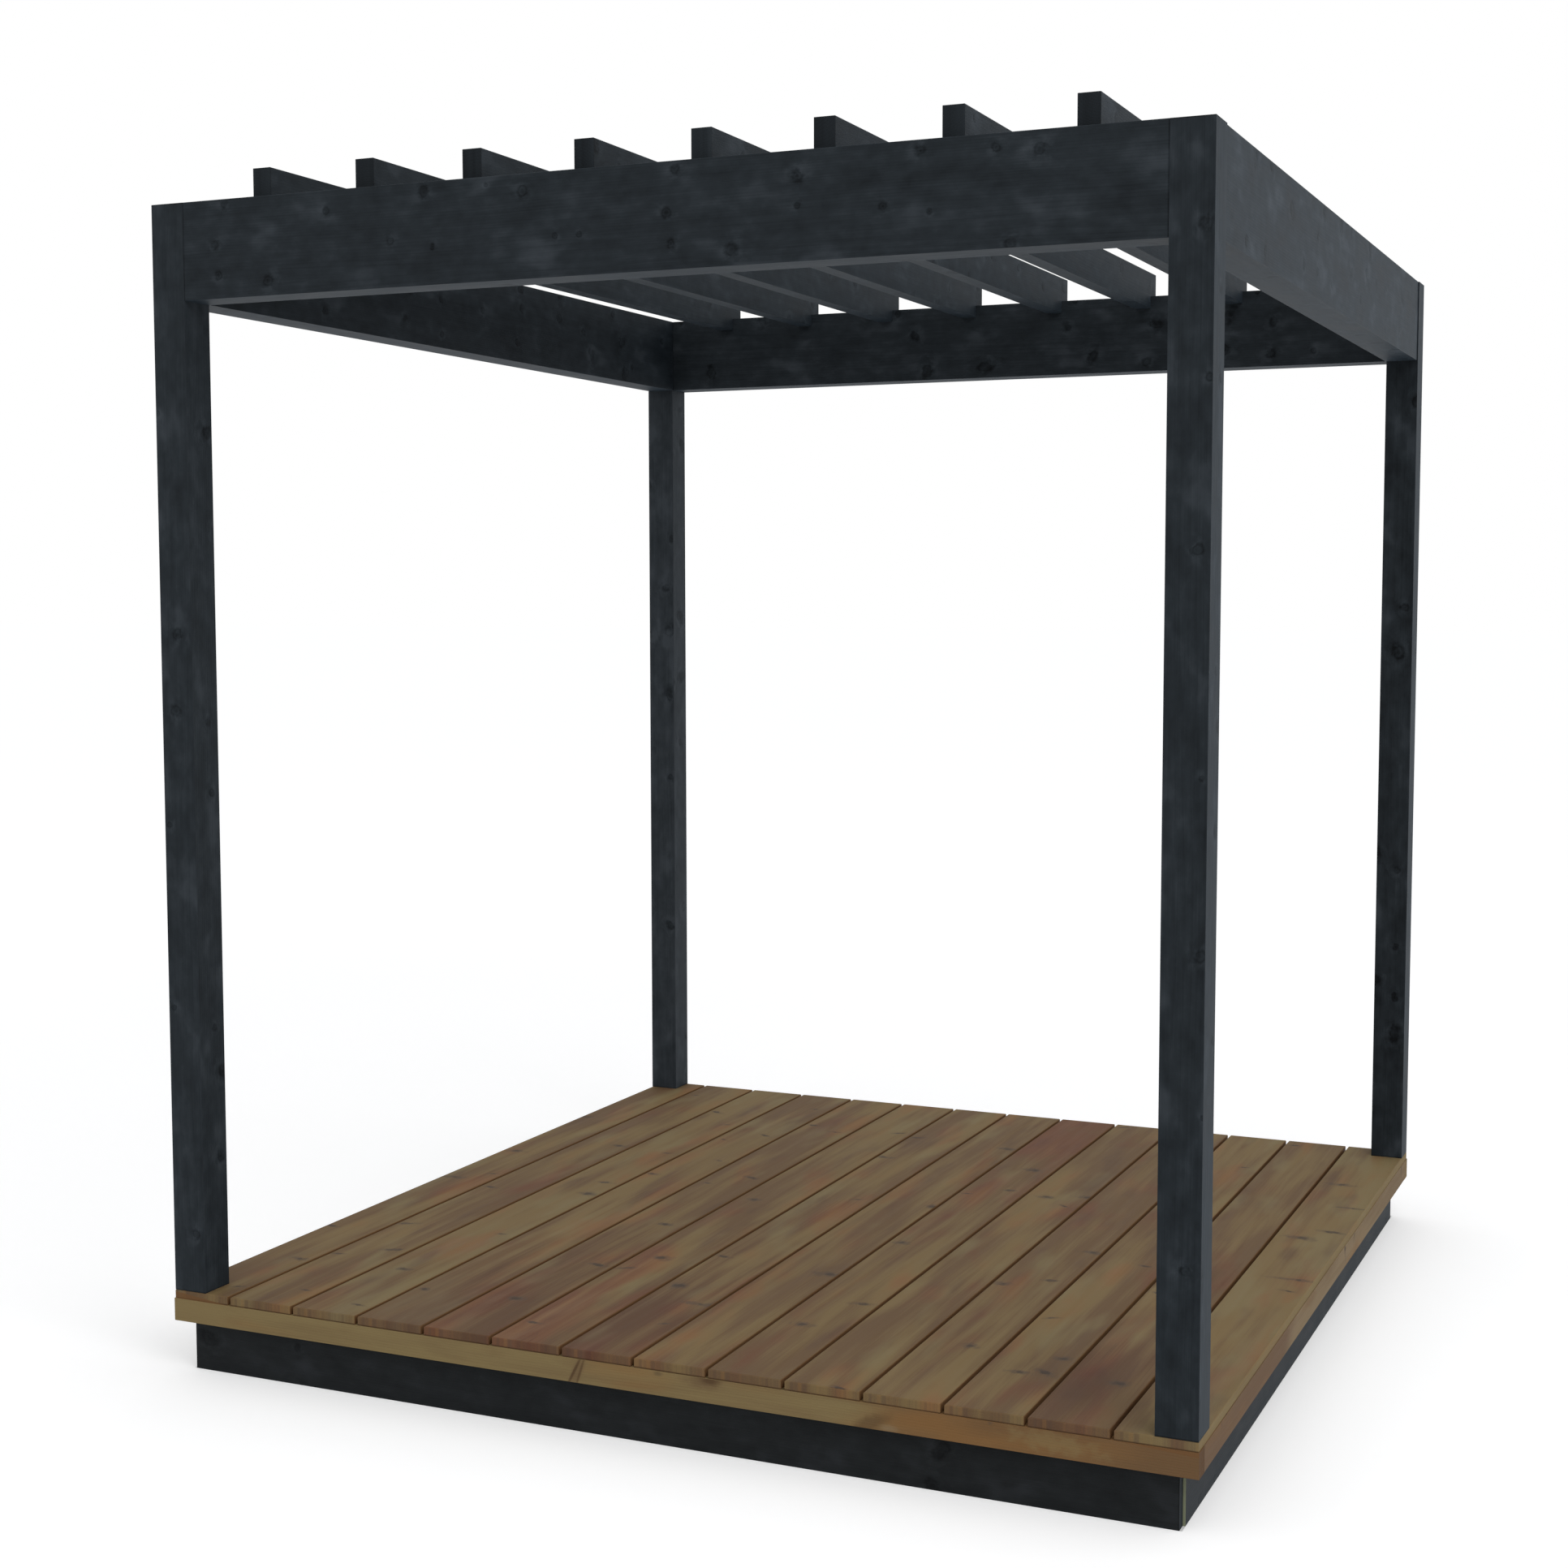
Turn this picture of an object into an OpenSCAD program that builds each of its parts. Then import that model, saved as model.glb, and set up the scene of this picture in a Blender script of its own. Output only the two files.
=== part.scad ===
// Wooden pergola: four posts, a ring of deep beams and eight notched rafters over a boarded deck.
// Millimetres. X runs along the front, Y runs to the back, Z is up from the ground.

/* [Frame] */
// Width over the outer faces of the posts
frame_w = 2520; // [2000:10:3600]
// Depth over the outer faces of the posts
frame_d = 2580; // [2000:10:3600]
// Rounding along the edges of the planed timbers
timber_ease = 1; // [0.5:0.5:6]

/* [Posts] */
// Side of a square post
post_w = 90; // [70:1:140]
// Height of a post above the deck
post_h = 2585; // [2200:5:3000]

/* [Beams] */
// Thickness of a beam
beam_t = 90; // [60:1:140]
// Depth of a beam
beam_h = 225; // [150:1:300]
// Setback of the front and back beams from the post faces
end_beam_inset = 0; // [0:0.5:8]
// Setback of the side beams from the post faces
side_beam_inset = 3; // [0:0.5:8]

/* [Rafters] */
// Number of rafters
rafter_count = 8; // [4:1:10]
// Thickness of a rafter
rafter_t = 48; // [30:1:70]
// Height of a rafter
rafter_h = 106; // [80:1:150]
// Depth of the notch that drops a rafter over its beams
rafter_notch = 36; // [15:1:55]
// Length of a rafter end that lies on a beam
rafter_bearing = 57; // [30:1:58]
// Clearance between a notch shoulder and the beam
shoulder_gap = 0.5; // [0:0.1:0.8]
// Clear space between the left beam and the first rafter
rafter_space_left = 174; // [80:1:260]
// Clear space between the last rafter and the right beam
rafter_space_right = 143; // [80:1:260]

/* [Deck] */
// Width of a full deck board
board_w = 173; // [120:1:220]
// Thickness of a deck board
board_t = 21; // [18:0.5:40]
// Open joint between deck boards
board_gap = 9; // [3:0.5:12]
// Rounding along the upper edges and ends of a deck board
board_ease = 3; // [1:0.5:7]
// Narrowest strip that is ripped for the last board
strip_min = 100; // [90:1:110]

/* [Deck frame] */
// Thickness of a batten
batten_t = 45; // [35:1:70]
// Height of a batten
batten_h = 55; // [45:1:100]
// Step of the battens beyond the deck edge
batten_step = 2; // [0:0.5:6]
// Number of joists between the side battens
joist_count = 4; // [2:1:6]

/* [Plinth] */
// Thickness of a plinth board
plinth_t = 28; // [20:1:45]
// Height of a plinth board
plinth_h = 120; // [80:1:200]
// Width of the seat of the front and back battens on the plinth
end_seat = 22; // [12:1:34]
// Width of the seat of the side battens on the plinth
side_seat = 6.5; // [4:0.5:15]
// Step of the front and back plinth boards inside the outer faces of the side boards
plinth_step = 6; // [2:0.5:12]
// Thickness of the bearer under the joists
bearer_t = 45; // [28:1:70]

/* [Hidden] */
// Outer faces of the posts
half_w = frame_w / 2;
half_d = frame_d / 2;

// Levels
batten_z = plinth_h;
board_z = batten_z + batten_h;
deck_z = board_z + board_t;
beam_top = deck_z + post_h;
beam_z = beam_top - beam_h;
rafter_z = beam_top - rafter_notch;

// Beams: inner faces, and the runs between the posts
end_beam_in = half_d - end_beam_inset - beam_t;
side_beam_in = half_w - side_beam_inset - beam_t;
end_beam_run = frame_w - 2 * post_w;
side_beam_run = 2 * min(half_d - post_w, end_beam_in);

// Rafters: length, pitch and the left face of the first one
rafter_run = 2 * (end_beam_in + rafter_bearing);
rafter_x = -side_beam_in + rafter_space_left;
rafter_zone = 2 * side_beam_in - rafter_space_left - rafter_space_right - rafter_t;
rafter_pitch = rafter_zone / (rafter_count - 1);

// Deck boards are laid from the right; the leftmost one is ripped to the width that remains
board_pitch = board_w + board_gap;
full_boards = floor((frame_w - strip_min) / board_pitch);
board_count = full_boards + 1;
strip_w = frame_w - full_boards * board_pitch;

// Batten frame
batten_x = half_w + batten_step;
batten_y = half_d + batten_step;
joist_run = 2 * (batten_x - batten_t);
joist_y = -batten_y + batten_t / 2;
joist_pitch = (2 * batten_y - batten_t) / (joist_count + 1);

// Plinth frame
plinth_x = batten_x - batten_t + side_seat;
plinth_y = batten_y - batten_t + end_seat;
plinth_in = plinth_y - plinth_t;

// Finishes
charcoal = "#2f363a";
pine = "#8d6d42";

// Node names
rafter_names = [for (i = [1:rafter_count]) str("rafter_", i)];
board_names = [for (i = [1:board_count]) str("deck_board_", i)];
joist_names = [for (i = [1:joist_count]) str("joist_", i)];
post_names = ["post_front_left", "post_front_right", "post_back_left", "post_back_right"];
beam_names = ["beam_front", "beam_back", "beam_left", "beam_right"];
batten_names = ["batten_front", "batten_back", "batten_left", "batten_right"];
plinth_names = ["plinth_front", "plinth_back", "plinth_left", "plinth_right", "plinth_bearer"];
frame_names = concat(post_names, beam_names, rafter_names);
base_names = concat(board_names, batten_names, joist_names, plinth_names);

// Section of a planed timber, centred, with its four edges eased
module planed_section(w, h, ease)
{
    square([w, h - 2 * ease], center = true);
    square([w - 2 * ease, h], center = true);
    for (sx = [-1, 1])
        for (sy = [-1, 1])
            translate([sx * (w / 2 - ease), sy * (h / 2 - ease)])
                circle(r = ease);
}

// Section of a deck board, standing on its flat underside, with its two upper edges eased
module board_section(w, h, ease)
{
    translate([-w / 2, 0])
        square([w, h - ease]);
    translate([-w / 2 + ease, 0])
        square([w - 2 * ease, h]);
    for (sx = [-1, 1])
        translate([sx * (w / 2 - ease), h - ease])
            circle(r = ease);
}

// Timber along X, centred on X and Y, standing on its underside
module timber_x(run, w, h)
{
    translate([-run / 2, 0, h / 2])
        rotate([90, 0, 90])
            linear_extrude(height = run)
                planed_section(w, h, timber_ease);
}

// Timber along Y, centred on X and Y, standing on its underside
module timber_y(run, w, h)
{
    translate([0, run / 2, h / 2])
        rotate([90, 0, 0])
            linear_extrude(height = run)
                planed_section(w, h, timber_ease);
}

// Timber along Z, centred on X and Y, standing on its foot
module timber_z(run, w)
{
    linear_extrude(height = run)
        planed_section(w, w, timber_ease);
}

// Post at one corner, standing on the deck
module post(sx, sy)
{
    color(charcoal)
        translate([sx * (half_w - post_w / 2), sy * (half_d - post_w / 2), deck_z])
            timber_z(post_h, post_w);
}

// Beam along the front or the back, between two posts and level with their tops
module end_beam(sy)
{
    color(charcoal)
        translate([0, sy * (end_beam_in + beam_t / 2), beam_z])
            timber_x(end_beam_run, beam_t, beam_h);
}

// Beam along one side
module side_beam(sx)
{
    color(charcoal)
        translate([sx * (side_beam_in + beam_t / 2), 0, beam_z])
            timber_y(side_beam_run, beam_t, beam_h);
}

// Rafter, notched at both ends to drop over the front and back beams
module rafter(i)
{
    notch_in = end_beam_in - shoulder_gap;
    notch_run = rafter_bearing + shoulder_gap + 1;
    color(charcoal)
        translate([rafter_x + rafter_t / 2 + (i - 1) * rafter_pitch, 0, rafter_z])
            difference()
            {
                timber_y(rafter_run, rafter_t, rafter_h);
                for (y = [notch_in, -notch_in - notch_run])
                    translate([-rafter_t / 2 - 1, y, -1])
                        cube([rafter_t + 2, notch_run, rafter_notch + 1]);
            }
}

// Deck board from front to back, eased along its upper edges and over its ends
module deck_board(i)
{
    w = (i == 1) ? strip_w : board_w;
    right = half_w - (board_count - i) * board_pitch;
    color(pine)
        translate([right - w / 2, 0, board_z])
            intersection()
            {
                translate([0, half_d, 0])
                    rotate([90, 0, 0])
                        linear_extrude(height = frame_d)
                            board_section(w, board_t, board_ease);
                translate([-w / 2, 0, 0])
                    rotate([90, 0, 90])
                        linear_extrude(height = w)
                            board_section(frame_d, board_t, board_ease);
            }
}

// Batten along the front or the back, covering the ends of the side battens
module end_batten(sy)
{
    color(pine)
        translate([0, sy * (batten_y - batten_t / 2), batten_z])
            timber_x(2 * batten_x, batten_t, batten_h);
}

// Batten along one side
module side_batten(sx)
{
    color(pine)
        translate([sx * (batten_x - batten_t / 2), 0, batten_z])
            timber_y(2 * (batten_y - batten_t), batten_t, batten_h);
}

// Joist across the deck frame, under the boards
module joist(i)
{
    color(pine)
        translate([0, joist_y + i * joist_pitch, batten_z])
            timber_x(joist_run, batten_t, batten_h);
}

// Plinth board along the front or the back
module end_plinth(sy)
{
    color(charcoal)
        translate([0, sy * (plinth_y - plinth_t / 2), 0])
            timber_x(2 * (plinth_x - plinth_step), plinth_t, plinth_h);
}

// Plinth board along one side, between the front and back boards
module side_plinth(sx)
{
    color(charcoal)
        translate([sx * (plinth_x - plinth_t / 2), 0, 0])
            timber_y(2 * plinth_in, plinth_t, plinth_h);
}

// Bearer from the front plinth board to the back one, under the middle of the joists
module plinth_bearer()
{
    color(charcoal)
        timber_y(2 * plinth_in, bearer_t, plinth_h);
}

post(-1, -1);  // post_front_left
post(1, -1);  // post_front_right
post(-1, 1);  // post_back_left
post(1, 1);  // post_back_right
end_beam(-1);  // beam_front
end_beam(1);  // beam_back
side_beam(-1);  // beam_left
side_beam(1);  // beam_right
for (i = [1:rafter_count])
    rafter(i);
for (i = [1:board_count])
    deck_board(i);
end_batten(-1);  // batten_front
end_batten(1);  // batten_back
side_batten(-1);  // batten_left
side_batten(1);  // batten_right
for (i = [1:joist_count])
    joist(i);
end_plinth(-1);  // plinth_front
end_plinth(1);  // plinth_back
side_plinth(-1);  // plinth_left
side_plinth(1);  // plinth_right
plinth_bearer();
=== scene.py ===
# %% [markdown]
# # A wooden pergola over a boarded deck
# The pergola is plain carpentry: four square posts, a ring of deep beams, a row of notched rafters,
# and a deck of brown boards on battens and dark plinth boards. The solids come packed from the CAD
# model, in metres, with X along the front, Y to the back and Z up. Their shapes are right already,
# so this lesson is about finishes: how stained and bare softwood is written as shader maths.

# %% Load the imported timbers
import math
import random

import bpy
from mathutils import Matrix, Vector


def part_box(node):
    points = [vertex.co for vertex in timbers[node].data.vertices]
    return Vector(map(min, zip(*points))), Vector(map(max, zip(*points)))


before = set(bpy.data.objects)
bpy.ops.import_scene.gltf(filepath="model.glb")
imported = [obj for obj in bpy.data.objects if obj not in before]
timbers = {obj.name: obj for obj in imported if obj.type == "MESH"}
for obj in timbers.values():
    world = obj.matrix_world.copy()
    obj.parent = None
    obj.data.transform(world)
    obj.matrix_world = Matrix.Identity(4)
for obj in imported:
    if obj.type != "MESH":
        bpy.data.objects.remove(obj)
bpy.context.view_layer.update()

# %% [markdown]
# ## Viewpoint
# The picture is taken from about head height, off the right-hand front corner, so that the front, the
# right side and the deck all show. The focal length and the small lens shift were worked out from the
# straight edges of the frame, which is more reliable than moving a camera by eye.

# %% Viewpoint
lens = bpy.data.cameras.new("viewpoint")
lens.sensor_width = 36.0
lens.lens = 52.007
lens.shift_x = -0.02186
lens.shift_y = -0.00597
lens.clip_end = 500.0
viewpoint = bpy.data.objects.new("viewpoint", lens)
viewpoint.location = (2.306, -5.6061, 1.8669)
viewpoint.rotation_euler = (math.radians(85.536), 0.0, math.radians(23.406))
bpy.context.scene.collection.objects.link(viewpoint)
bpy.context.scene.camera = viewpoint
bpy.context.scene.view_settings.view_transform = "Standard"
print("viewpoint at", tuple(viewpoint.location))

# %% [markdown]
# ## Shader maths in plain Python
# A wood finish needs dozens of small sums. Wired by hand they are hard to read, so one class wraps a
# node socket and lets Python's own operators add the Math nodes. Every other node is made by its one
# method, node: the settings are set first, because some of them change which sockets a node has.

# %% Wire, a socket that takes part in sums
class Wire:
    """A socket in a node tree. Sums and products of wires add Math nodes to the tree."""

    def __init__(self, tree, socket=None):
        self.tree = tree
        self.socket = socket

    def node(self, kind, sockets=None, out=0, **settings):
        """Add one node: its type, its sockets' values or links, the output to use, its settings."""
        made = self.tree.nodes.new("ShaderNode" + kind)
        for name, value in settings.items():
            setattr(made, name, value)
        for name, value in (sockets or {}).items():
            if isinstance(value, Wire):
                self.tree.links.new(value.socket, made.inputs[name])
            else:
                made.inputs[name].default_value = value
        return Wire(self.tree, made.outputs[out] if len(made.outputs) else None)

    def math(self, operation, *others):
        values = dict(enumerate((self, *others)))
        return self.node("Math", values, operation=operation)

    def __add__(self, other):
        return self.math("ADD", other)

    def __sub__(self, other):
        return self.math("SUBTRACT", other)

    def __rsub__(self, other):
        return self.node("Math", {0: other, 1: self}, operation="SUBTRACT")

    def __mul__(self, other):
        return self.math("MULTIPLY", other)

    def __truediv__(self, other):
        return self.math("DIVIDE", other)

    def __rtruediv__(self, other):
        return self.node("Math", {0: other, 1: self}, operation="DIVIDE")

    def __pow__(self, other):
        return self.math("POWER", other)

    def __gt__(self, other):
        return self.math("GREATER_THAN", other)

    def __abs__(self):
        return self.math("ABSOLUTE")

    __radd__ = __add__
    __rmul__ = __mul__


print("a Wire takes part in sums, products, powers and comparisons")

# %% [markdown]
# ## Ramps, mixes and tones
# Nearly every patch on wood is a noise that is pushed through a smooth ramp and then used as the share
# of a second colour. A Math node would turn a colour grey, so colours go through Mix nodes: a plain mix
# covers the wood, and a multiplied one tints it, as a thin stain does. Tones are written as a colour
# picker shows them, because that is how a maker compares them with a sample.

# %% Ramps, mixes and tones
def smooth(wire, low, high):
    """0 below low, 1 above high, and a smooth rise between them."""
    stops = {"Value": wire, "From Min": low, "From Max": high}
    return wire.node("MapRange", stops, interpolation_type="SMOOTHSTEP")


def blend(share, first, second):
    """A colour from first to second as share goes from 0 to 1."""
    return share.node("Mix", {0: share, 6: first, 7: second}, out=2, data_type="RGBA")


def tinted(share, colour, tint):
    """The colour as a thin stain leaves it, so that its pattern still shows through."""
    return share.node("Mix", {0: share, 6: colour, 7: tint}, out=2, data_type="RGBA",
                      blend_type="MULTIPLY")


def tone(red, green, blue):
    """A colour as a picker shows it, 0 to 255, in the linear values that shaders use."""
    def linear(c):
        c = c / 255
        return c / 12.92 if c <= 0.04045 else ((c + 0.055) / 1.055) ** 2.4
    return (linear(red), linear(green), linear(blue), 1.0)


print("a mid grey is", tuple(round(c, 3) for c in tone(128, 128, 128)))

# %% [markdown]
# ## Studio
# Garden joinery is usually pictured on white. A very large pale floor and an even white sky do that
# here. Rays that come straight from the camera, or by way of a shine, see plain white, and all other
# rays see a soft sky at the level where a colour renders about as it is written.

# %% Sky
WHITE = (1.0, 1.0, 1.0, 1.0)
BLACK = (0.0, 0.0, 0.0, 1.0)
SOFT_WHITE = (0.985, 0.99, 1.0, 1.0)
SKY = 0.86


def seen_directly(bench):
    """1 for camera rays, and for rays that a shine or a clear surface sends on."""
    path = {name: bench.node("LightPath", out=name) for name in
            ("Is Camera Ray", "Is Glossy Ray", "Is Transmission Ray")}
    total = path["Is Camera Ray"] + path["Is Glossy Ray"] + path["Is Transmission Ray"]
    return total.math("MINIMUM", 1.0)


sky = bpy.data.worlds.new("studio_sky")
sky.use_nodes = True
sky.node_tree.nodes.clear()
bench = Wire(sky.node_tree)
soft_sky = bench.node("Background", {"Color": SOFT_WHITE, "Strength": SKY})
white_sky = bench.node("Background", {"Color": WHITE, "Strength": 1.0})
both = bench.node("MixShader", {0: seen_directly(bench), 1: soft_sky, 2: white_sky})
bench.node("OutputWorld", {"Surface": both})
bpy.context.scene.world = sky
print("sky strength", SKY)

# %% [markdown]
# ### Floor
# The floor glows a little for the camera, which lifts it to white, and still darkens beside the plinth,
# so that the pergola stands on it. A floor that is simply white would lose that shadow. Inside the
# plinth it isn't lifted, because the open joints of a real deck look down into shade.

# %% Floor
FLOOR_HALF = 120.0
FLOOR_GREY = (0.8, 0.8, 0.8, 1.0)
FLOOR_LIFT = 0.32

floor_mesh = bpy.data.meshes.new("floor")
floor_mesh.from_pydata([(x, y, 0.0) for x, y in
                        ((-FLOOR_HALF, -FLOOR_HALF), (FLOOR_HALF, -FLOOR_HALF),
                         (FLOOR_HALF, FLOOR_HALF), (-FLOOR_HALF, FLOOR_HALF))], [], [(0, 1, 2, 3)])
floor = bpy.data.objects.new("floor", floor_mesh)
bpy.context.scene.collection.objects.link(floor)

pale_floor = bpy.data.materials.new("pale_floor")
pale_floor.use_nodes = True
pale_floor.node_tree.nodes.clear()
bench = Wire(pale_floor.node_tree)
matt = {"Base Color": FLOOR_GREY, "Roughness": 1.0, "Specular IOR Level": 0.0}
plain = bench.node("BsdfPrincipled", matt)
place = bench.node("TexCoord", out="Object")
plinth_x, plinth_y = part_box("plinth_right")[1][0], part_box("plinth_back")[1][1]
past_x = abs(place.node("SeparateXYZ", {0: place}, out=0)) > plinth_x
past_y = abs(place.node("SeparateXYZ", {0: place}, out=1)) > plinth_y
lift = blend(past_x.math("MAXIMUM", past_y), BLACK, WHITE)
lifted = bench.node("BsdfPrincipled", {**matt, "Emission Color": lift, "Emission Strength": FLOOR_LIFT})
both = bench.node("MixShader", {0: seen_directly(bench), 1: plain, 2: lifted})
bench.node("OutputMaterial", {"Surface": both})
floor_mesh.materials.append(pale_floor)
print("floor", 2 * FLOOR_HALF, "m across")

# %% [markdown]
# ### Softbox
# An even sky alone leaves every face alike. One large, weak lamp from the right makes the right-hand
# faces a little lighter than the front, and is too soft to draw hard shadows on the deck.

# %% Softbox
softbox = bpy.data.lights.new("softbox", "AREA")
softbox.shape = "DISK"
softbox.size = 4.0
softbox.energy = 120.0
softbox_stand = bpy.data.objects.new("softbox", softbox)
softbox_stand.location = (4.5, -4.0, 6.0)
softbox_stand.rotation_euler = (math.radians(46), 0.0, math.radians(48))
bpy.context.scene.collection.objects.link(softbox_stand)
print("softbox", softbox.energy, "W")

# %% [markdown]
# ## Reading a sawn piece
# Wood is a solid with a direction, so its pattern has to know how each piece was sawn: how far along
# the length a point lies, how far across its face, and whether it is a long face or sawn end grain.
# Unwrapping would lose that, so the coordinates come straight from the object's own space. Each
# piece gets its own shift, as no two timbers come from the same stretch of a tree.

# %% Coordinates of a sawn piece
FACE_ON = 0.7
FACE_SHIFT = 11.7
TREE_SHIFT = (20, 90)


def vector(x, y, z):
    source = next(w for w in (x, y, z) if isinstance(w, Wire))
    return source.node("CombineXYZ", {0: x, 1: y, 2: z})


def cloud(along, across, depth, detail=2.0, rough=0.5):
    """Smooth noise from 0 to 1. Multiplied coordinates say how many patches a metre holds."""
    spot = vector(along, across, depth)
    return spot.node("TexNoise", {"Vector": spot, "Scale": 1.0, "Detail": detail, "Roughness": rough})


class Sawn:
    """Where a point lies in one timber: along it, across its face, and near which edge."""

    def __init__(self, bench, name):
        low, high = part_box(name)
        middle, half = (low + high) / 2, (high - low) / 2
        long = max(range(3), key=lambda i: half[i])
        v_axis, w_axis = [i for i in range(3) if i != long]
        self.luck = random.Random(name)
        place = bench.node("TexCoord", out="Object")
        point = [place.node("SeparateXYZ", {0: place}, out=i) - middle[i] for i in range(3)]
        facing = bench.node("TexCoord", out="Normal")
        normal = [facing.node("SeparateXYZ", {0: facing}, out=i) for i in range(3)]
        self.end = abs(normal[long]) > FACE_ON
        self.side = (abs(normal[v_axis]) - abs(normal[w_axis]) > 0.0) * (1.0 - self.end)
        self.front = normal[1] * -1.0 > FACE_ON
        self.u, self.v, self.w = point[long], point[v_axis], point[w_axis]
        self.across = self.v * (1.0 - self.side) + self.w * self.side
        flat_sign, side_sign = normal[w_axis].math("SIGN"), normal[v_axis].math("SIGN")
        face = flat_sign * (1.0 - self.side) + side_sign * self.side * 2.0
        face = face * (1.0 - self.end) + self.end
        self.along = self.u + (face * FACE_SHIFT + self.luck.uniform(*TREE_SHIFT))
        inset_v = half[v_axis] - abs(self.v)
        inset_w = half[w_axis] - abs(self.w)
        self.edge = inset_v.math("MAXIMUM", inset_w)
        self.tip = half[long] - abs(self.u)
        self.half = (half[long], half[v_axis], half[w_axis])


beam_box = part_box("beam_front")
print("front beam:", tuple(round(c, 3) for c in beam_box[1] - beam_box[0]), "m")

# %% [markdown]
# ## Knots
# A knot is a branch that the saw cut through. On planed softwood it shows as a dark, ragged ring with a
# mid-toned heart, a smear where the saw ran along the branch, and grain that bends round it. Placing all
# of them one by one would take many nodes, so a Voronoi texture deals one chance of a knot to each cell
# of a loose grid, and the cell's random colour decides whether it is there, its size, and how it lies.
# A front face that everybody looks at can have its knots at chosen places instead.

# %% Knots
NO_KNOT = 0.00001
HALO = (1.0, 3.6)


def reach(du, ds, size, stretch, cosine, sine):
    """How far a point lies from the middle of an oval, with 1 on its rim."""
    long = (du * cosine + ds * sine) / stretch
    short = ds * cosine - du * sine
    return (long * long + short * short) ** 0.5 / size


def nearest_reach(sawn, chosen):
    """The reach to the nearest of some round knots, each with its place u, s and its size."""
    place = vector(sawn.u, sawn.across, 0.0)
    nearest = None
    for u, s, size in chosen:
        gap = place.node("VectorMath", {0: place, 1: (u, s, 0.0)}, out="Value", operation="DISTANCE") / size
        nearest = nearest.math("MINIMUM", gap) if nearest else gap
    return nearest


class Knots:
    """Knots on the faces of a sawn piece, and what they do to the wood around them."""

    def __init__(self, sawn, cell, share, sizes, oval, ragged, swing=math.pi, chosen=()):
        step_u, step_s = cell
        small, large = sizes
        grid_u, grid_s = sawn.along / step_u, sawn.across / step_s + 5.3
        spot = vector(grid_u, grid_s, 0.0)
        cells = {"Vector": spot, "Scale": 1.0, "Randomness": 0.8}
        middle = spot.node("TexVoronoi", cells, out="Position", voronoi_dimensions="2D")
        chance = spot.node("TexVoronoi", cells, out="Color", voronoi_dimensions="2D")
        draw = [chance.node("SeparateColor", {0: chance}, out=i) for i in range(3)]
        du = (grid_u - middle.node("SeparateXYZ", {0: middle}, out=0)) * step_u
        ds = (grid_s - middle.node("SeparateXYZ", {0: middle}, out=1)) * step_s
        there = (draw[1] > 1.0 - share) * (1.0 - sawn.end)
        if chosen:
            there = there * (1.0 - sawn.front)
        size = there * (draw[0] * draw[0] * (large - small) + small) + NO_KNOT
        turn = (draw[2] - 0.5) * swing + math.pi / 2
        cosine, sine = turn.math("COSINE"), turn.math("SINE")
        stretch = draw[0] * (oval - 1.0) + 1.0
        self.torn = torn = cloud(sawn.along * 38.0, sawn.across * 45.0, 3.0, 3.0, 0.6) - 0.5
        rim = reach(du, ds, size, stretch, cosine, sine) + torn * ragged
        self.bend = ds * (1.0 - smooth(rim, *HALO)) * 0.4
        self.pick = draw[2]
        if chosen:
            chosen_rim = nearest_reach(sawn, chosen) + torn * ragged
            rim = rim * (1.0 - sawn.front) + chosen_rim * sawn.front
            self.pick = self.pick + sawn.front * 0.2
        self.heart = 1.0 - smooth(rim, 0.7, 1.15)
        broken = 1.0 - smooth(torn, -0.02, 0.14) * 0.8
        self.ring = smooth(rim, 0.4, 0.85) * (1.0 - smooth(rim, 0.9, 1.5)) * broken
        self.pith = 1.0 - smooth(rim, 0.1, 0.5)
        self.halo = 1.0 - smooth(rim, *HALO)
        smeared = reach(du, ds, size, 3.0, cosine, sine) + torn * 3.0
        self.smear = (1.0 - smooth(smeared, 0.4, 2.0)) * there


print("reach on the rim of a 10 mm knot:", reach(0.01, 0.0, 0.01, 1.0, 1.0, 0.0))

# %% [markdown]
# ## Growth rings
# The rings are tubes round the heart of the tree. A point's distance from that line, bent by a little
# noise, gives arches on wide faces, straight lines on narrow ones and arcs on sawn ends, all from one
# sum. Dark late wood ends each ring sharply. Fibres are a much finer noise, drawn out along the piece.

# %% Growth rings
LATE_WOOD = 3.0


class Rings:
    """Late wood and fine fibres of a sawn piece."""

    def __init__(self, sawn, knots, heart, ring):
        sway = cloud(sawn.along * 0.9, sawn.v * 5.0, sawn.w * 5.0, 2.0) - 0.5
        lean = cloud(sawn.along * 0.7, sawn.w * 5.0 + 7.0, sawn.v * 5.0, 1.0) - 0.5
        dv = sawn.v - heart[0] + sway * 0.05
        dw = sawn.w - heart[1] + lean * 0.04
        ripple = cloud(sawn.along * 5.0, sawn.v * 40.0, sawn.w * 40.0, 2.0) - 0.5
        radius = (dv * dv + dw * dw) ** 0.5 + ripple * 0.0035 + abs(knots.bend)
        turn = (radius / ring).math("FRACT")
        self.late = turn ** LATE_WOOD * (1.0 - smooth(turn, 0.93, 1.0))
        self.fibres = cloud(sawn.along * 7.0, sawn.v * 420.0, sawn.w * 420.0, 1.0)


print("late wood half-way and near the end of a ring:", 0.5 ** LATE_WOOD, round(0.9 ** LATE_WOOD, 2))

# %% [markdown]
# ## A finish for one timber
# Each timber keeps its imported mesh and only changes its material. One shared material would repeat the
# same knots on every post, so each timber has a material of its own, named after it.

# %% A finish for one timber
def new_finish(name):
    finish = bpy.data.materials.new(name)
    finish.use_nodes = True
    finish.node_tree.nodes.clear()
    return finish, Wire(finish.node_tree)


def dress(name, finish):
    """Give a timber its own finish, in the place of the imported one."""
    piece = timbers[name]
    piece.data.materials.clear()
    piece.data.materials.append(finish)


print("finishes to make:", len(timbers))

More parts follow.
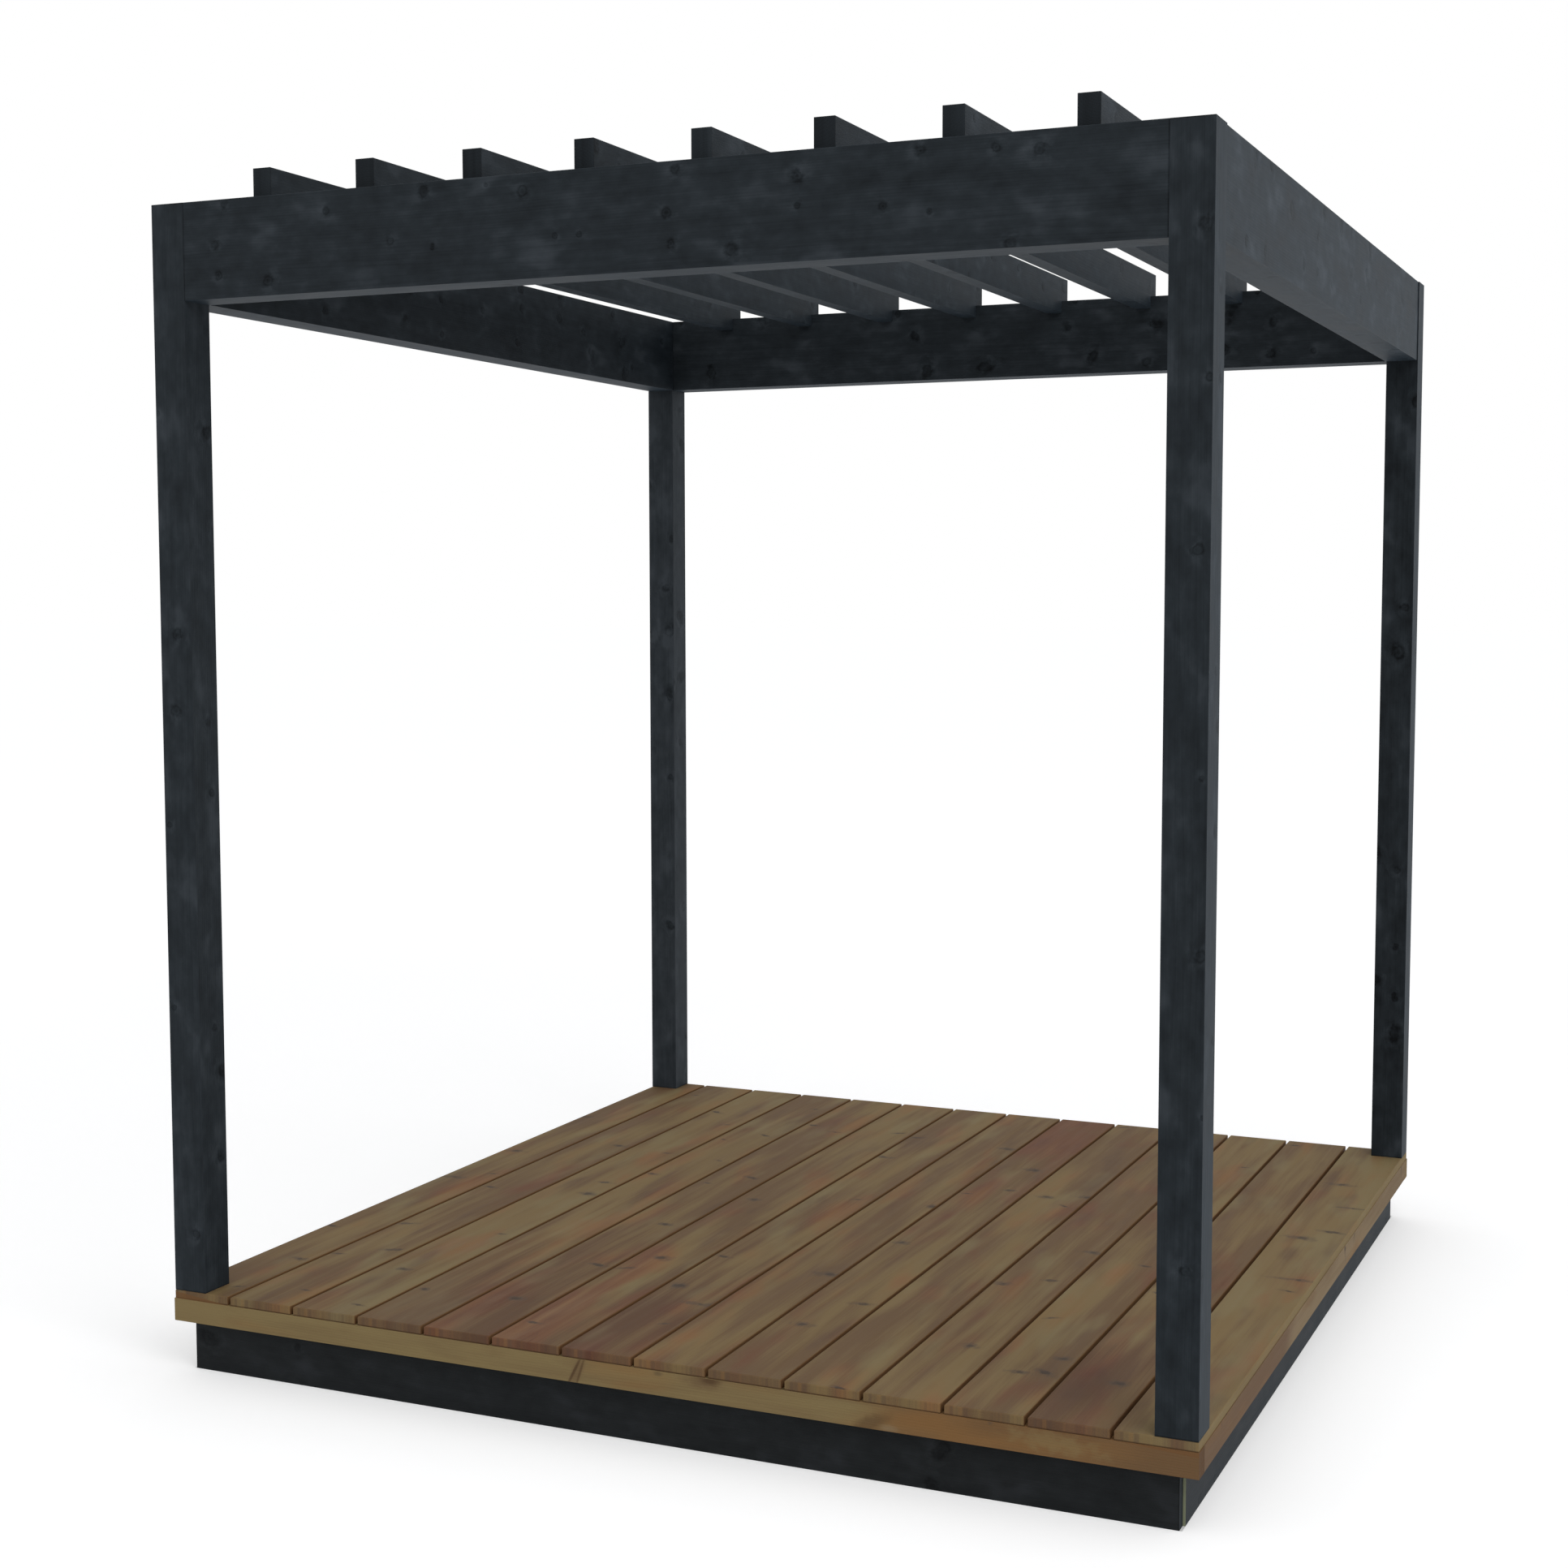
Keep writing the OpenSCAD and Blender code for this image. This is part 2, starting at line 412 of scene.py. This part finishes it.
# %% [markdown]
# ## Charcoal stain
# The frame is planed softwood under a thin blue-black stain. It is not paint: the grain, the knots and
# cloudy patches where the wood drank more or less of it still show. One number, how thin the stain
# lies, gathers all of that, along with two painted parts: shade at the butt joints, and a lighter or
# darker shift for each timber that stands in for the light and shade it gets. The colour, the
# roughness and the bump follow from the same parts.
# Raised fibres catch a little bluish light at a glancing angle, which is what sheen is for.

# %% Charcoal stain
FRAME_STAIN = (tone(5, 7, 9), tone(34, 39, 43), tone(56, 61, 66))
SHEEN = {"Sheen Weight": 0.04, "Sheen Tint": (0.46, 0.72, 1.0, 1.0), "Sheen Roughness": 0.5}
RAW_END = tone(138, 142, 116)
EVEN_COAT = 0.47
CLOUDY = 0.74
KNOTTY = 0.6
STAIN_KNOTS = {"cell": (0.19, 0.09), "sizes": (0.008, 0.018), "oval": 1.5, "ragged": 1.9}
WORN_EDGE = (0.0003, 0.003)
# Widths of painted shade lines: at the butt joints of the frame and at the foot of the deck board ends.
SHADE_LINE = (0.001, 0.004)


def charcoal_stain(name, tones=FRAME_STAIN, painted_lightness=0.0, cloudy=CLOUDY, knotty=KNOTTY, chosen=(),
                   raw_ends=False):
    """Stain one timber. Its three tones are for a deep, an even and a washed-out coat."""
    deep, even, washed = tones
    finish, bench = new_finish("charcoal_" + name)
    sawn = Sawn(bench, name)
    luck = sawn.luck
    knots = Knots(sawn, share=knotty, chosen=chosen, **STAIN_KNOTS)
    heart = (luck.uniform(-0.05, 0.05), luck.choice((-1, 1)) * luck.uniform(0.03, 0.09))
    rings = Rings(sawn, knots, heart, luck.uniform(0.005, 0.008))
    flow = sawn.across - knots.bend
    clouds = cloud(sawn.along * 6.5, flow * 11.0, 4.0, 2.0, 0.55)
    wash = cloud(sawn.along * 22.0, flow * 34.0, 9.0, 3.0, 0.55)
    bands = cloud(sawn.along * 1.8, flow * 75.0, 2.0, 2.0, 0.55)
    # The per-timber shift added here is painted light and shade: it lifts or lowers the whole timber.
    thinness = (clouds - 0.5) * cloudy + (wash - 0.5) * 0.5 + (bands - 0.5) * 0.2 + (EVEN_COAT + painted_lightness)
    thinness = thinness + smooth(clouds, 0.55, 0.72) * 0.2 + (rings.fibres - 0.5) * 0.2
    thinness = thinness - (rings.late - 0.15) * 0.07
    thinness = thinness + knots.halo * smooth(wash, 0.42, 0.62) * 0.2
    thinness = thinness - knots.ring * (wash * 0.36 + 0.02) - knots.pith * knots.pick * 0.22
    thinness = thinness - knots.heart * 0.17 - knots.smear * 0.1
    worn = (1.0 - smooth(sawn.edge + (wash - 0.5) * 0.006, *WORN_EDGE)) * (1.0 - sawn.end)
    # Painted shade, with some dirt: a dark line on the long faces near each butt end, where the timber
    # meets the next one.
    joint_shade_and_dirt = (1.0 - smooth(sawn.tip, *SHADE_LINE)) * (1.0 - sawn.end)
    thinness = thinness + worn * 0.06 - joint_shade_and_dirt * 0.3 - sawn.end * 0.16
    colour = blend(thinness * 2.0, deep, even)
    colour = blend(thinness * 2.0 - 1.0, colour, washed)
    if raw_ends:
        colour = blend(sawn.end, colour, RAW_END)
    roughness = 0.6 + (clouds - 0.5) * 0.2 + (rings.fibres - 0.5) * 0.1 - worn * 0.06
    height = rings.late * -0.35 + rings.fibres * 0.4 - knots.ring * 0.5 + knots.heart * 0.3
    bump = bench.node("Bump", {"Height": height, "Strength": 0.55, "Distance": 0.0006})
    shader = bench.node("BsdfPrincipled", {"Base Color": colour, "Roughness": roughness, "Normal": bump,
                                           "Specular IOR Level": 0.08, **SHEEN})
    bench.node("OutputMaterial", {"Surface": shader})
    dress(name, finish)
    return len(finish.node_tree.nodes)


print("an even coat is", tuple(round(c, 3) for c in FRAME_STAIN[1][:3]))

# %% [markdown]
# ### Posts, beams and rafters
# Timbers from one pot of stain still differ: one is cloudier than another. Each is also painted a little
# lighter or darker, as painted light and shade for where it stands. A few words for each one are
# enough. The front beam and front posts get their knots at chosen places, each written as how far
# along and across the face its middle lies and how large it is, because they are the faces that the
# eye compares first.

# %% Posts, beams and rafters
# Per-timber shifts: above 0 is painted light, below 0 is painted shade.
lit_and_shaded_timbers = {"post_front_left": 0.06, "post_back_left": 0.24, "post_back_right": -0.06,
           "beam_back": 0.04, "beam_left": -0.1}
cloudier = {"beam_front": 0.6, "beam_right": 1.5, "beam_back": 0.5}
front_knots = {
    "beam_front": [(-1.08, 0.01, 0.01), (-1.07, -0.06, 0.01), (-1.05, 0.1, 0.009), (-0.93, -0.08, 0.013),
                   (-0.77, 0.065, 0.009), (-0.6, -0.01, 0.009), (-0.51, 0.09, 0.012),
                   (-0.49, -0.03, 0.007), (-0.35, 0.095, 0.005), (-0.26, 0.075, 0.012),
                   (-0.18, -0.025, 0.006), (-0.12, -0.025, 0.006), (0.09, 0.005, 0.011),
                   (0.1, -0.06, 0.01), (0.11, 0.095, 0.01), (0.24, -0.08, 0.014), (0.39, 0.06, 0.012),
                   (0.39, 0.0, 0.006), (0.58, -0.015, 0.009), (0.66, 0.09, 0.011), (0.68, -0.03, 0.006),
                   (0.82, 0.085, 0.009), (0.85, -0.105, 0.012), (0.91, 0.075, 0.013)],
    "post_front_right": [(1.09, 0.03, 0.014), (0.8, 0.04, 0.008), (0.47, 0.02, 0.012),
                         (0.03, 0.035, 0.007), (-0.32, 0.035, 0.012), (-0.64, 0.045, 0.005),
                         (-0.95, 0.015, 0.012)],
    "post_front_left": [(0.81, -0.04, 0.006), (0.29, 0.005, 0.014), (0.11, -0.005, 0.013),
                        (-0.16, -0.03, 0.007), (-0.6, -0.03, 0.007), (-1.15, 0.02, 0.011)]}
frame_timbers = sorted(n for n in timbers if n.startswith(("post_", "beam_", "rafter_")))
counts = [charcoal_stain(name, painted_lightness=lit_and_shaded_timbers.get(name, 0.0), cloudy=cloudier.get(name, CLOUDY),
                         chosen=front_knots.get(name, ())) for name in frame_timbers]
print("stained", len(counts), "frame timbers, with up to", max(counts), "nodes each")

# %% [markdown]
# ### Plinth boards
# The plinth takes the same stain in tones nearer to black. They are partly a darker stain and partly
# painted shade under the battens' overhang, so only its tones and its share of knots change. The side
# boards run between the front and back ones, and their cut ends were left bare: a pale line that shows
# at the corner.

# %% Plinth boards
# Darker plinth tones: a darker stain, and painted shade from the overhang above.
SHADED_PLINTH_STAIN = (tone(10, 11, 12), tone(28, 30, 31), tone(42, 44, 47))
BARE_ENDED = ("plinth_left", "plinth_right")
plinth_boards = sorted(n for n in timbers if n.startswith("plinth_"))
for name in plinth_boards:
    charcoal_stain(name, SHADED_PLINTH_STAIN, knotty=0.4, raw_ends=name in BARE_ENDED)
print("stained", len(plinth_boards), "plinth boards")

# %% [markdown]
# ## Brown treated pine
# The deck is brown treated pine, which is never one colour. A picture of a board would repeat itself, so
# the colours are mixed by noise from a few named tones. Russet and plum are tints that multiply the wood
# under them, so that the grain stays visible.

# %% Tones of the pine
TAN = tone(117, 98, 66)
BROWN = tone(101, 80, 57)
OLIVE = tone(121, 108, 77)
DUSK = tone(84, 66, 54)
HONEY = tone(129, 95, 58)
STRAW = tone(126, 109, 74)
KNOT_GREY = tone(62, 53, 46)
SMEAR = tone(78, 67, 57)
# Brown of the painted shade and dirt in the joints, also used for the dark wedges at the deck's front
# corners.
SHADE_AND_DIRT_BROWN = tone(106, 75, 46)
# Painted shade at the foot of the board ends, and the darker end grain of a batten.
SHADE_AND_END_GRAIN_BROWN = tone(66, 46, 29)
RUSSET = (1.03, 0.76, 0.83, 1.0)
PLUM = (0.76, 0.67, 0.76, 1.0)
print("tan pine is", tuple(round(c, 3) for c in TAN[:3]))

# %% [markdown]
# ### Grain of the pine
# Along the grain the colour drifts slowly, and across it quickly, so each noise is stretched: broad
# bands, fine streaks, smudges, blushes and pale drifts. Knots can be set one by one on the broad face,
# as a ragged heart and a smear that lies across the board.

# %% Grain of the pine
ACROSS = (0.0, 1.0)


class Pine:
    """The grain of one pine piece, ready to be coloured."""

    def __init__(self, name, cell, share, sizes):
        self.finish, self.bench = new_finish("pine_" + name)
        self.name = name
        self.sawn = sawn = Sawn(self.bench, name)
        luck = sawn.luck
        self.knots = knots = Knots(sawn, cell, share, sizes, oval=1.9, ragged=2.0, swing=1.2)
        heart = (luck.uniform(-0.04, 0.04), -luck.uniform(0.03, 0.08))
        self.rings = Rings(sawn, knots, heart, luck.uniform(0.004, 0.006))
        sway = (cloud(sawn.along * 1.2, sawn.across * 7.0, 1.0, 1.0) - 0.5) * 0.03
        flow = sawn.across - knots.bend + sway
        self.bands = cloud(sawn.along * 1.2, flow * 10.0, 4.0, 2.0, 0.55)
        self.streaks = cloud(sawn.along * 1.8, flow * 44.0, 6.0, 2.0, 0.6)
        self.smudges = cloud(sawn.along * 3.6, flow * 12.0, 8.0, 2.0, 0.6)
        self.blush = cloud(sawn.along * 3.0, flow * 9.0, 10.0, 2.0)
        self.drift = cloud(sawn.along * 2.6, flow * 10.0, 12.0, 2.0)
        self.dark = self.bands + (self.streaks - 0.5) * 0.22 + (self.rings.fibres - 0.5) * 0.16
        self.dark = self.dark + (self.rings.late - 0.15) * 0.05 * (1.0 - sawn.end)
        self.hearts = knots.heart * (knots.pick * 0.6 + 0.15) + knots.ring * 0.4
        self.smears = knots.smear

    def set_knot(self, u, s, size, stretch):
        """A knot at a chosen place: a ragged dark heart, and a smear that lies across the board."""
        torn = self.knots.torn
        face = (1.0 - self.sawn.end) * (1.0 - self.sawn.side)
        du, ds = self.sawn.u - u, self.sawn.across - s
        heart = 1.0 - smooth(reach(du, ds, size, 1.2, *ACROSS) + torn * 2.2, 0.4, 1.2)
        smear = 1.0 - smooth(reach(du, ds, size * 1.5, stretch, *ACROSS) + torn * 3.2, 0.5, 1.7)
        self.hearts = self.hearts.math("MAXIMUM", heart * face * 0.75)
        self.smears = self.smears.math("MAXIMUM", smear * face)

    def finish_with(self, colour):
        """Lay the knots over the colour, add roughness and bump, and dress the piece."""
        knots, rings = self.knots, self.rings
        colour = blend(self.smears * 0.6, colour, SMEAR)
        colour = blend(self.hearts.math("MINIMUM", 0.8), colour, KNOT_GREY)
        roughness = 0.76 + (self.streaks - 0.5) * 0.24
        height = rings.late * -0.5 + rings.fibres * 0.4 - knots.ring * 0.4 + knots.heart * 0.4
        bump = self.bench.node("Bump", {"Height": height, "Strength": 0.5, "Distance": 0.0008})
        shader = self.bench.node("BsdfPrincipled", {"Base Color": colour, "Roughness": roughness,
                                                    "Normal": bump, "Specular IOR Level": 0.12})
        self.bench.node("OutputMaterial", {"Surface": shader})
        dress(self.name, self.finish)
        return len(self.finish.node_tree.nodes)


board_count = sum(n.startswith("deck_board_") for n in timbers)
print("deck boards to colour:", board_count)

# %% [markdown]
# ## Deck boards
# One board at a time: bands first, then pale drifts, dusky smudges and blushes, and the leanings that
# come in towards its front or back. Its sawn ends show the same colours as upright stripes, with a
# painted shade line at their foot where they meet the batten. The faces inside the open joints are
# painted a darker brown, which is painted shade in the narrow gaps together with the dirt they hold;
# the outer side face of the end boards is painted paler, a painted highlight.

# %% One deck board
DECK_KNOTS = {"cell": (0.23, 0.1), "share": 0.16, "sizes": (0.004, 0.009)}


def deck_board(number, knots=(), front=0.0, back=0.0, plum=None, pale=0.0, open_side=0, dark_end_wedge=False):
    """Tones of one board: russet towards an end, plum from a place on to the front, and its set knots."""
    pine = Pine("deck_board_%d" % number, **DECK_KNOTS)
    sawn = pine.sawn
    for knot in knots:
        pine.set_knot(*knot)
    wander = sawn.u + (pine.smudges - 0.5) * 1.1 + (pine.drift - 0.5) * 0.8
    near, far = smooth(wander * -1.0, 0.3, 1.1), smooth(wander, -0.2, 1.0)
    pale = pale + sawn.luck.uniform(-0.03, 0.03)
    colour = blend(smooth(pine.dark - pale, 0.38, 0.64), TAN, BROWN)
    colour = blend(smooth(pine.drift + pale, 0.52, 0.72) * 0.6, colour, OLIVE)
    colour = blend(smooth(pine.smudges + (pine.bands - 0.5) * 0.5, 0.54, 0.78) * 0.4, colour, DUSK)
    reds = pine.blush + near * front + far * back + 0.03
    colour = tinted(smooth(reds, 0.53, 0.8) * 0.9, colour, RUSSET)
    colour = blend(smooth(pine.blush - pine.bands, 0.06, 0.34) * 0.4, colour, HONEY)
    if plum:
        share, start = plum
        zone = smooth(wander * -1.0 + (pine.streaks - 0.5) * 1.2, start, start + 0.7)
        colour = tinted(zone * (sawn.end * 0.5 + share), colour, PLUM)
    stripes = cloud(3.0, sawn.v * 65.0, 2.0, 2.0, 0.6)
    colour = blend(sawn.end * smooth(stripes, 0.46, 0.62) * 0.45, colour, DUSK)
    colour = blend(sawn.end * (1.0 - smooth(stripes, 0.36, 0.48)) * 0.3, colour, HONEY)
    # Painted shade: a dark line along the foot of each sawn end, in the crease where it meets the batten.
    foot_shade = 1.0 - smooth(sawn.w + sawn.half[2], *SHADE_LINE)
    colour = blend(foot_shade * sawn.end * 0.85, colour, SHADE_AND_END_GRAIN_BROWN)
    # Joint faces are painted darker: painted shade deep in the narrow gaps, and the dirt they hold.
    gap_shade_and_dirt = sawn.side
    if open_side:
        # The outer side face of an end board is painted paler straw, a painted highlight, and is left out
        # of the darker joint faces.
        painted_highlight_side = sawn.side * (sawn.v * open_side > 0.0)
        gap_shade_and_dirt = gap_shade_and_dirt - painted_highlight_side
        colour = blend(painted_highlight_side * 0.6, colour, STRAW)
    colour = blend(gap_shade_and_dirt * 0.85, colour, SHADE_AND_DIRT_BROWN)
    # A brown wedge darkens the lower outer corner of the board's front end.
    if dark_end_wedge:
        leftward = 0.5 - sawn.v / (2.0 * sawn.half[1])
        upward = 0.5 + sawn.w / (2.0 * sawn.half[2])
        wedge = smooth(leftward * 0.8 - upward, -0.04, 0.06) * sawn.end * (sawn.u * -1.0 > 0.0)
        colour = blend(wedge * 0.8, colour, SHADE_AND_DIRT_BROWN)
    return pine.finish_with(colour)


# %% [markdown]
# ### Fourteen boards
# Boards differ: some are olive and pale, some russet, and two or three turn plum towards the front. Each
# has a word or two for its leaning. The largest knots are set one by one, as the eye remembers those: how
# far along and across the board each one lies, its size, and how far its smear is drawn out.

# %% Fourteen boards
leaning = {1: dict(open_side=-1, dark_end_wedge=True), 3: dict(pale=0.05), 4: dict(plum=(0.9, 0.3)),
           5: dict(front=0.06, plum=(0.7, 0.3)), 6: dict(front=0.24, plum=(0.5, 0.6)),
           7: dict(front=0.06, plum=(0.9, 0.4), pale=-0.03), 8: dict(pale=-0.05),
           9: dict(back=0.2, pale=-0.04), 12: dict(pale=-0.02),
           13: dict(front=0.06, plum=(0.8, 0.1), pale=-0.02), 14: dict(open_side=1, pale=0.08)}
set_knots = {1: [(-0.96, 0.047, 0.007, 2), (-0.11, -0.036, 0.008, 2.5), (0.23, -0.035, 0.008, 2.5)],
             2: [(0.41, 0.05, 0.008, 2)],
             3: [(-0.93, -0.017, 0.007, 1.6), (-0.12, 0.053, 0.011, 1.5)],
             4: [(-1.05, -0.06, 0.006, 1.5), (0.15, -0.066, 0.007, 2)],
             5: [(-1.025, 0.002, 0.011, 1.1), (-0.31, 0.033, 0.008, 1.6)],
             6: [(-0.59, -0.016, 0.012, 1.2), (0.01, -0.038, 0.008, 1.4)],
             7: [(-0.78, -0.054, 0.014, 1.0), (-0.89, 0.06, 0.006, 5), (0.6, -0.065, 0.008, 2)],
             8: [(-0.55, 0.066, 0.011, 2), (0.14, 0.08, 0.01, 1.2), (0.84, 0.06, 0.009, 2)],
             9: [(-0.93, -0.02, 0.01, 1.4), (-0.22, -0.055, 0.009, 1.4), (0.63, 0.032, 0.012, 1.4)],
             10: [(0.36, -0.027, 0.009, 1.6), (0.4, 0.08, 0.01, 1.4)],
             11: [(-0.92, 0.021, 0.009, 1.3), (-0.45, -0.06, 0.007, 2), (-0.11, 0.065, 0.008, 2.5)],
             12: [(-0.92, 0.055, 0.009, 1.4), (-1.04, -0.005, 0.006, 3)],
             13: [(-1.025, 0.031, 0.011, 1.2)],
             14: [(-0.135, 0.05, 0.006, 7), (0.235, -0.018, 0.011, 2), (0.578, 0.055, 0.005, 6),
                  (0.82, -0.02, 0.009, 2.5)]}
counts = [deck_board(number, set_knots.get(number, ()), **leaning.get(number, {}))
          for number in range(1, board_count + 1)]
print("coloured", len(counts), "deck boards, with up to", max(counts), "nodes each")

# %% [markdown]
# ## Battens and joists
# The battens that carry the boards are paler and yellower. The front one turns orange to the right and
# has a few marks of its own: a spike knot, where the saw ran along a branch, crosses it on a slant, and
# under the last board its top edge is darkened in a wedge, painted shade with damp. Such single marks
# are soft ovals, set one by one.

# %% Single marks
def mark(pine, u, s, long, wide, slant=0.0, torn=0.0):
    """A soft oval at one place of a side face, u along and s across it, leaning by slant."""
    sawn = pine.sawn
    ds = sawn.across - s
    du = (sawn.u - u - ds * slant) / long
    ds = ds / wide
    rim = (du * du + ds * ds) ** 0.5 + pine.knots.torn * torn
    return (1.0 - smooth(rim, 0.2, 1.0)) * sawn.side


batten_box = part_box("batten_front")
print("front batten:", tuple(round(c, 3) for c in batten_box[1] - batten_box[0]), "m")

# %% [markdown]
# ### One batten
# A batten is a long, narrow face, so what counts is how its tone changes from end to end. Two soft turns,
# bent by the same noises as the grain, lead from one tone to the next. The rest is the pine again.

# %% One batten
BATTEN_KNOTS = {"cell": (0.3, 0.09), "share": 0.3, "sizes": (0.004, 0.008)}
TURN_LENGTH = 0.5
WEDGE_SLOPE = 0.06


def batten(name, tones=(STRAW, STRAW, STRAW), turns=(0.3, 0.8), ends=0.0, marks=(), damp_shade_from=None):
    """A batten whose tone changes along its length, from each of the two turns on."""
    first, second, third = tones
    pine = Pine(name, **BATTEN_KNOTS)
    sawn = pine.sawn
    travel = sawn.u + (pine.blush - 0.5) * 1.3 + (pine.bands - 0.5) * 0.8
    colour = blend(smooth(travel, turns[0], turns[0] + TURN_LENGTH), first, second)
    colour = blend(smooth(travel, turns[1], turns[1] + TURN_LENGTH), colour, third)
    colour = blend(smooth(pine.dark, 0.4, 0.68) * 0.5, colour, BROWN)
    colour = blend(smooth(pine.drift, 0.52, 0.72) * 0.45, colour, HONEY)
    colour = blend(smooth(pine.smudges, 0.55, 0.72) * 0.35, colour, BROWN)
    colour = blend(sawn.end * ends, colour, SHADE_AND_END_GRAIN_BROWN)
    for tint, share, place in marks:
        colour = blend(mark(pine, **place) * share, colour, tint)
    # Under the last board the top edge darkens in a wedge: painted shade, with damp.
    if damp_shade_from is not None:
        depth = (sawn.u - damp_shade_from) * WEDGE_SLOPE - (sawn.half[2] - sawn.w)
        colour = blend(smooth(depth, -0.001, 0.001) * sawn.side * 0.8, colour, SHADE_AND_DIRT_BROWN)
    return pine.finish_with(colour)


print("a turn of tone takes", TURN_LENGTH, "m")

# %% [markdown]
# ### All battens and joists
# Only the front and right battens are looked at closely, so they get tones and marks of their own. The
# others, and the joists that show through the open joints, are plain straw-coloured pine.

# %% All battens and joists
ORANGE = tone(122, 90, 55)
CHESTNUT = tone(106, 78, 50)
ROSE_BROWN = tone(104, 82, 62)
FADED = tone(128, 110, 84)
SPIKE_BROWN = tone(82, 62, 42)
front_marks = [(BROWN, 0.6, dict(u=-0.148, s=-0.002, long=0.02, wide=0.05, slant=0.42)),
               (SPIKE_BROWN, 0.9, dict(u=-0.1555, s=-0.002, long=0.006, wide=0.06, slant=0.51)),
               (SPIKE_BROWN, 0.7, dict(u=-0.1402, s=-0.002, long=0.005, wide=0.06, slant=0.33)),
               (KNOT_GREY, 0.4, dict(u=0.055, s=0.022, long=0.016, wide=0.008)),
               (BROWN, 0.7, dict(u=0.165, s=0.02, long=0.07, wide=0.026, torn=0.8)),
               (SPIKE_BROWN, 0.9, dict(u=0.182, s=0.023, long=0.034, wide=0.014, torn=0.8)),
               (ORANGE, 0.9, dict(u=0.68, s=0.004, long=0.13, wide=0.04, slant=1.2, torn=0.4)),
               (SPIKE_BROWN, 0.6, dict(u=0.56, s=-0.014, long=0.045, wide=0.034, slant=1.2, torn=0.8)),
               (FADED, 0.6, dict(u=0.6, s=-0.02, long=0.03, wide=0.012, torn=0.8)),
               (STRAW, 0.5, dict(u=0.96, s=0.004, long=0.13, wide=0.032, slant=-1.5, torn=1.6))]
batten("batten_front", (STRAW, ORANGE, CHESTNUT), ends=0.6, marks=front_marks, damp_shade_from=1.09)
batten("batten_right", (ROSE_BROWN, FADED, FADED), turns=(-0.7, 0.8))
plain_pieces = ["batten_left", "batten_back"] + sorted(n for n in timbers if n.startswith("joist_"))
for name in plain_pieces:
    batten(name)
print("coloured 2 marked battens and", len(plain_pieces), "plain battens and joists")
